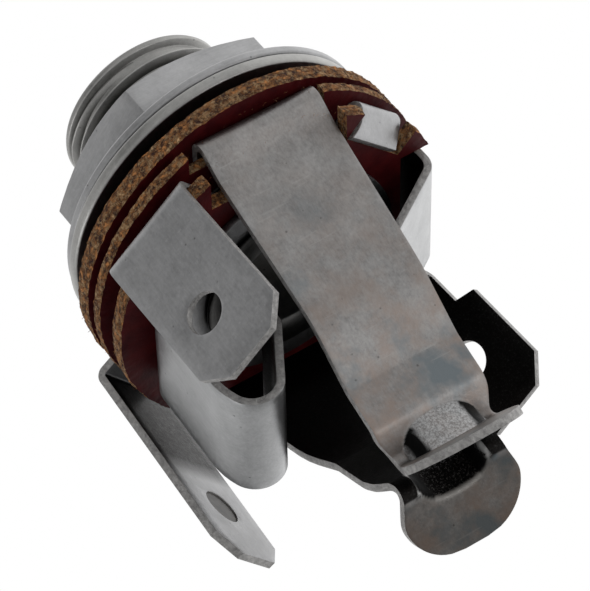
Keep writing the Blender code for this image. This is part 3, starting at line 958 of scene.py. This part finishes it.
left_rows = fold(
    "left contact",
    root_moves(8.12 * mm, 1.0 * mm, 88.0)
    + [
        ("run", 4.75 * mm),
        ("bend", 4.0 * mm, 24.0),
        ("bend", 1.35 * mm, 127.0),
        ("run", 3.2 * mm),
        ("bend", 0.9 * mm, 48.0),
        ("run", 0.5 * mm),
    ],
)
left = strip("left_sleeve_spring", left_rows, 12, even_width)
finish_strip(left, 90.0, hairpin_metal)
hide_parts("sleeve_spring_left")
# Painted shade on the sides that face the axis, and near the axis on both sides.
mark_painted_shade(left, 90.0, within=6.3 * mm)
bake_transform(left)

right_rows = fold(
    "right contact",
    root_moves(8.41 * mm, 0.9 * mm, 90.0)
    + [
        ("run", 0.42 * mm),
        ("bend", 1.0 * mm, 57.0),
        ("run", 4.6 * mm),
        ("bend", 0.9 * mm, -80.0),
        ("run", 0.9 * mm),
    ],
)
right = strip("right_sleeve_spring", right_rows, 12, even_width)
finish_strip(right, -90.0, hairpin_metal)
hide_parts("sleeve_spring_right")
# Painted shade on the side that faces the axis.
mark_painted_shade(right, -90.0)
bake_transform(right)
print("Sleeve springs:", triangles(left), triangles(right), "triangles")

# %% [markdown]
# ## Solder lugs
# Three of the plates also carry a lug, folded up at the side, with its corners cut off and one
# hole for the wire. The hole is cut with a round bar, then the bar is removed.


# %% Lugs
hole_radius = 1.05 * mm
chamfer = 1.25 * mm


def lug(name, layer, azimuth, sizes):
    """Lengths of sizes are in millimetres, lean and roll in degrees.

    outer is the radius of the outer face, high neck the half width of the neck's high side, and
    step at where it widens. aside moves the lug sideways on its plate, roll leans it sideways,
    and hole aside moves its hole.
    """
    half = sizes["width"] * mm / 2.0
    neck = sizes["high neck"] * mm
    aside = sizes["aside"] * mm
    sideways = math.tan(math.radians(sizes["roll"]))
    body = sizes["length"] * mm - 0.75 * mm - chamfer
    moves = root_moves(sizes["outer"] * mm, sizes["bend"] * mm, 90.0 - sizes["lean"])
    bend_end = fold(layer, moves)[-1][3]
    moves += [("run", 3.2 * mm, 0.1 * mm), ("run", body - 2.45 * mm), ("run", chamfer)]
    rows = fold(layer, moves)
    total = rows[-1][3]

    def width_at(travelled):
        widened = clamp((travelled - bend_end - sizes["step at"] * mm) / (0.4 * mm))
        cut = max(0.0, travelled - (total - chamfer))
        shift = aside - max(0.0, travelled - bend_end) * sideways
        high = min(neck + (half - neck) * widened, half - cut)
        return -half + cut + shift, high + shift

    thing = strip(name, rows, 8, width_at)
    thicken(thing, lug_metal, even_normals=False)
    hole_height = sizes["hole height"] * mm
    hole_side = aside + sizes["hole aside"] * mm - (hole_height - 4.0 * mm) * sideways
    hole_place = ((sizes["outer"] + 0.5) * mm, hole_side, hole_height)
    bar = round_bar(hole_radius, 5.0 * mm, hole_place, 0.0)
    bar.data.materials.append(cut_edge)
    cut_away(thing, bar, "TRANSFER")
    turn_to(thing, azimuth)
    soften(thing, 0.07 * mm, 50.0)
    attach(thing, "jack")
    return thing


# Each size is given for the right lug, then for the front, then for the rear.
lug_sizes = {
    "outer": (9.99, 10.6, 11.0),
    "bend": (0.45, 0.15, 0.15),
    "length": (9.65, 12.15, 8.4),
    "lean": (6.5, 3.0, 6.0),
    "width": (5.55, 5.4, 5.86),
    "high neck": (2.77, 1.6, 1.8),
    "step at": (0.0, 0.2, 1.9),
    "aside": (0.85, 0.8, 0.0),
    "roll": (2.5, 0.0, 0.0),
    "hole height": (11.23, 11.9, 10.95),
    "hole aside": (0.5, 0.0, 0.0),
}
right_sizes, front_sizes, rear_sizes = columns(lug_sizes)
front_azimuth = 128.0
rear_azimuth = -135.0
right_lug = lug("right_lug", "right contact", 41.5, right_sizes)
front_lug = lug("front_lug", "upper contact", front_azimuth, front_sizes)
rear_lug = lug("rear_lug", "left contact", rear_azimuth, rear_sizes)
# Painted shade on the lugs' sides that face the axis, on the front lug only low near its root.
mark_painted_shade(rear_lug, rear_azimuth)
mark_painted_shade(front_lug, front_azimuth, top=9.8 * mm)
print("Lugs:", triangles(right_lug), triangles(front_lug), triangles(rear_lug), "triangles")

# %% [markdown]
# ## Residue in the front lug
# The front lug's hole is dark in the photograph, though the white ground lies behind it. A thin
# disc of old flux, which is a guess, closes it near its outer face.

# %% Residue
residue_place = (10.76 * mm, front_sizes["aside"] * mm, front_sizes["hole height"] * mm)
residue = round_bar(hole_radius + 0.01 * mm, 0.12 * mm, residue_place, front_sizes["lean"])
residue.name = "front_lug_residue"
turn_to(residue, front_azimuth)
old_flux, tree, shader, in_mm = new_finish("old flux", 0.4)
stain = remap(tree, shade_noise(tree, in_mm, 1.4, 4.0, 0.6), 0.4, 0.62)
paint(tree, shader, stain, (0.022, 0.018, 0.015), (0.08, 0.068, 0.056))
residue.data.materials.append(old_flux)
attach(residue, "jack")
print("Residue:", triangles(residue), "triangles")

# %% [markdown]
# ## Short tab
# The lower contact's plate has no lug, only a short tab that is bent up past upright.

# %% Short tab of the lower contact
tab_length = 1.6 * mm
tab_moves = root_moves(9.12 * mm, 0.15 * mm, 129.0) + [("run", tab_length, 0.2 * mm)]
tab_rows = fold("lower contact", tab_moves)
tab_total = tab_rows[-1][3]


def tab_width(travelled):
    """The tab slants sideways, with a waist on its high side."""
    along_tab = 1.0 - min(1.0, (tab_total - travelled) / tab_length)
    waist = 0.25 * mm * math.sin(math.pi * along_tab)
    return (-2.0 + 0.6 * along_tab) * mm, (1.2 + 1.0 * along_tab) * mm - waist


tab = strip("short_tab", tab_rows, 8, tab_width)
finish_strip(tab, -45.0, lug_metal)
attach(tab, "jack")
print("Tab:", triangles(tab), "triangles")

# %% [markdown]
# ## Contact rings
# Between the washers, each contact is a flat ring round the barrel. Only its edge shows, deep in
# the gaps, so a turned ring with a small edge round is enough.

# %% Contact rings
rings = {
    "upper contact": ("tip_plate_front", 5.05 * mm),
    "lower contact": ("tip_plate_rear", 5.05 * mm),
    "right contact": ("sleeve_plate_front", 4.2 * mm),
    "left contact": ("sleeve_plate_rear", 4.2 * mm),
}
for layer, (node, bore) in rings.items():
    low, high = layers[layer]
    low, high = low + 0.01 * mm, high - 0.01 * mm
    ring = turned(
        layer.replace(" ", "_") + "_ring",
        [(bore, low), (6.3 * mm, low), (6.3 * mm, high), (bore, high)],
        96,
    )
    ring.data.materials.append(lug_metal)
    soften(ring, 0.04 * mm)
    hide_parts(node)
    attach(ring, "jack")
print(len(rings), "contact rings")

# %% [markdown]
# ## Fibre washers
# Each washer is turned with several rows of points on its rim. Notches for the springs, a lug and
# the tab are cut with boxes, and then the rim is roughened by moving its points a little.


# %% Fibre washers
def fibre_washer(name, layer, bore, notches, seed):
    low, high = layers[layer]
    rim = 9.5 * mm
    rows = [(rim - 0.05 * mm * abs(k - 3) / 3.0, low + (high - low) * k / 6.0) for k in range(7)]
    radii = [bore, 7.0 * mm, 8.9 * mm, 9.25 * mm]
    outline = [(radius, low) for radius in radii] + rows
    outline += [(radius, high) for radius in reversed(radii)]
    thing = turned(name, outline, 540)
    thing.data.materials.append(fibre_face)
    thing.data.materials.append(fibre_rim)
    for azimuth, depth, half in notches:
        bpy.ops.mesh.primitive_cube_add(size=1.0)
        block = bpy.context.object
        block.scale = (12.0 * mm - depth, 2.0 * half, 4.0 * mm)
        angle = math.radians(azimuth)
        reach = (12.0 * mm + depth) / 2.0
        block.location = (reach * math.cos(angle), reach * math.sin(angle), (low + high) / 2.0)
        block.rotation_euler = (0.0, 0.0, angle)
        settle(block)
        cut_away(thing, block, "INDEX")
    for point in thing.data.vertices:
        level = Vector((point.co.x, point.co.y, 0.0))
        if level.length > 9.2 * mm:
            spot = point.co * 1000.0 + Vector((seed, 0.0, 0.0))
            coarse = noise.noise(spot * 1.6) * 0.05 + noise.noise(spot * 6.0) * 0.05
            point.co += level.normalized() * coarse * mm
            point.co.z += noise.noise(spot * 3.1) * 0.035 * mm
    only(thing)
    bpy.ops.object.shade_smooth_by_angle(angle=math.radians(40.0))
    for face in thing.data.polygons:
        level = Vector((face.center.x, face.center.y, 0.0))
        if abs(face.normal.z) < 0.75 and level.length > bore + 0.3 * mm:
            face.material_index = 1
    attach(thing, "jack")
    return thing


front_fibre = fibre_washer("front_fibre", "front fibre", 5.05 * mm, [], 0.0)
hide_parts("fibre_washer_front")
middle_notches = [(0.0, 7.55 * mm, 3.9 * mm)]
middle_fibre = fibre_washer("middle_fibre", "middle fibre", 4.2 * mm, middle_notches, 31.0)
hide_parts("fibre_washer_middle")
rear_notches = [
    (0.0, 6.85 * mm, 3.9 * mm),
    (180.0, 7.35 * mm, 3.5 * mm),
    (-90.0, 7.1 * mm, 3.5 * mm),
    (47.0, 9.53 * mm, 2.93 * mm),
    (-45.0, 7.65 * mm, 2.15 * mm),
]
rear_fibre = fibre_washer("rear_fibre", "rear fibre", 4.2 * mm, rear_notches, 57.0)
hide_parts("fibre_washer_rear")
print("Fibre washers:", triangles(front_fibre), triangles(middle_fibre), triangles(rear_fibre))

# %% [markdown]
# ## Loose fibres
# A few hairs of the punched fibre stand off the rims. Each is a short thin tapered spike,
# bent over sideways. They are all one mesh, on the same body as the washers.

# %% Loose fibres
chance = random.Random(7)
hairs = bmesh.new()
for low, high in (layers["front fibre"], layers["middle fibre"], layers["rear fibre"]):
    for _ in range(70):
        angle = chance.uniform(-0.6, 2.9)
        height = chance.uniform(low + 0.05 * mm, high - 0.05 * mm)
        outward = Vector((math.cos(angle), math.sin(angle), 0.0))
        sideways = Vector((-math.sin(angle), math.cos(angle), 0.0)) * chance.choice((-1, 1))
        root = outward * 9.45 * mm + Vector((0.0, 0.0, height))
        length = chance.uniform(0.1, 0.29) * mm
        lean = sideways * chance.uniform(0.4, 1.6) + Vector((0, 0, chance.uniform(-0.7, 0.7)))
        knee = root + (outward + lean * 0.4).normalized() * length * 0.5
        tip = knee + (outward * 0.3 + lean).normalized() * length * 0.6
        rings_of_hair = []
        for centre, thick in ((root, 0.02 * mm), (knee, 0.014 * mm)):
            upward = Vector((0, 0, thick))
            ring = [centre + sideways * thick, centre + upward, centre - outward * thick]
            rings_of_hair.append([hairs.verts.new(spot) for spot in ring])
        end_point = hairs.verts.new(tip)
        first, second = rings_of_hair
        for side in range(3):
            after = (side + 1) % 3
            hairs.faces.new((first[side], first[after], second[after], second[side]))
            hairs.faces.new((second[side], second[after], end_point))
        hairs.faces.new(first[::-1])
bmesh.ops.recalc_face_normals(hairs, faces=hairs.faces)
hair_mesh = bpy.data.meshes.new("loose_fibres")
hairs.to_mesh(hair_mesh)
hairs.free()
loose_fibres = bpy.data.objects.new("loose_fibres", hair_mesh)
bpy.context.scene.collection.objects.link(loose_fibres)
loose_fibres.data.materials.append(fibre_rim)
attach(loose_fibres, "jack")
print("Loose fibres:", triangles(loose_fibres), "triangles")

# %% [markdown]
# ## Hidden insulators
# The spacer, the film and the two collars keep their CAD shapes, in matt black, partly painted
# shade.

# %% Hidden insulators
for node in ("front_spacer", "insulating_film", "front_collar", "rear_collar"):
    for slot in frame["nodes"][node].material_slots:
        slot.material = black_and_shade_sleeve
print("Insulators in", black_and_shade_sleeve.name)

# %% [markdown]
# ## Floor and light
# The photograph has a plain white ground, no shadow and broad soft light. The floor is white to
# the camera and lets all other light through. The world is white to the camera too. To all else
# it is a soft grey, brighter behind the jack and to the camera's right, dimmer overhead, with one
# dark card in front on the left.


# %% Floor
def seen_directly(tree, path):
    """One for what the camera sees, straight or through something clear."""
    outputs = path.outputs
    return calculate(tree, "MAXIMUM", outputs["Is Camera Ray"], outputs["Is Transmission Ray"])


bpy.ops.mesh.primitive_plane_add(size=1.2, location=(0.0, 0.0, -0.0082))
floor = bpy.context.object
floor.name = "floor"
ground = bpy.data.materials.new("white ground")
ground.use_nodes = True
tree = ground.node_tree
tree.nodes.remove(tree.nodes["Principled BSDF"])
clear = new_node(tree, "ShaderNodeBsdfTransparent")
white = new_node(tree, "ShaderNodeEmission")
path = new_node(tree, "ShaderNodeLightPath")
either = new_node(tree, "ShaderNodeMixShader")
tree.links.new(seen_directly(tree, path), either.inputs["Fac"])
tree.links.new(clear.outputs["BSDF"], either.inputs[1])
tree.links.new(white.outputs["Emission"], either.inputs[2])
tree.links.new(either.outputs["Shader"], tree.nodes["Material Output"].inputs["Surface"])
floor.data.materials.append(ground)
print("Floor at", round(floor.location.z / mm, 2), "mm")

# %% World
world = bpy.data.worlds.new("studio")
bpy.context.scene.world = world
world.use_nodes = True
tree = world.node_tree
sky = tree.nodes["Background"]
where = new_node(tree, "ShaderNodeTexCoord").outputs["Generated"]
towards = new_node(tree, "ShaderNodeVectorMath", operation="DOT_PRODUCT")
towards.inputs[1].default_value = (-0.62, -0.75, -0.22)
tree.links.new(where, towards.inputs[0])
broad = remap(tree, towards.outputs["Value"], -0.35, 1.0, 0.52, 1.1)
broad.node.interpolation_type = "SMOOTHSTEP"
upright = new_node(tree, "ShaderNodeSeparateXYZ")
tree.links.new(where, upright.inputs["Vector"])
overhead = remap(tree, upright.outputs["Z"], 0.2, 0.95, 1.0, 0.55)
card = new_node(tree, "ShaderNodeVectorMath", operation="DOT_PRODUCT")
card.inputs[1].default_value = (0.60, 0.63, -0.49)
tree.links.new(where, card.inputs[0])
carded = remap(tree, card.outputs["Value"], 0.86, 0.97, 1.0, 0.35)
bright = times(tree, broad, overhead)
bright = times(tree, bright, carded)
path = new_node(tree, "ShaderNodeLightPath")
level = new_node(tree, "ShaderNodeMix", data_type="FLOAT")
tree.links.new(seen_directly(tree, path), level.inputs["Factor"])
tree.links.new(bright, level.inputs["A"])
level.inputs["B"].default_value = 1.0
tree.links.new(level.outputs["Result"], sky.inputs["Strength"])
sky.inputs["Color"].default_value = (1.0, 1.0, 1.0, 1.0)
print("World ready")


# %% Lamps
def soft_lamp(name, place, size, power):
    data = bpy.data.lights.new(name, "AREA")
    data.shape = "DISK"
    data.size = size
    data.energy = power
    lamp = bpy.data.objects.new(name, data)
    lamp.location = place
    lamp.rotation_euler = (-Vector(place)).to_track_quat("-Z", "Y").to_euler()
    bpy.context.scene.collection.objects.link(lamp)


soft_lamp("key lamp", (0.16, -0.10, 0.22), 0.10, 0.06)
soft_lamp("side lamp", (-0.16, -0.18, 0.02), 0.12, 0.015)
soft_lamp("left lamp", (-0.05, 0.22, 0.05), 0.10, 0.04)
print("Three soft lamps")
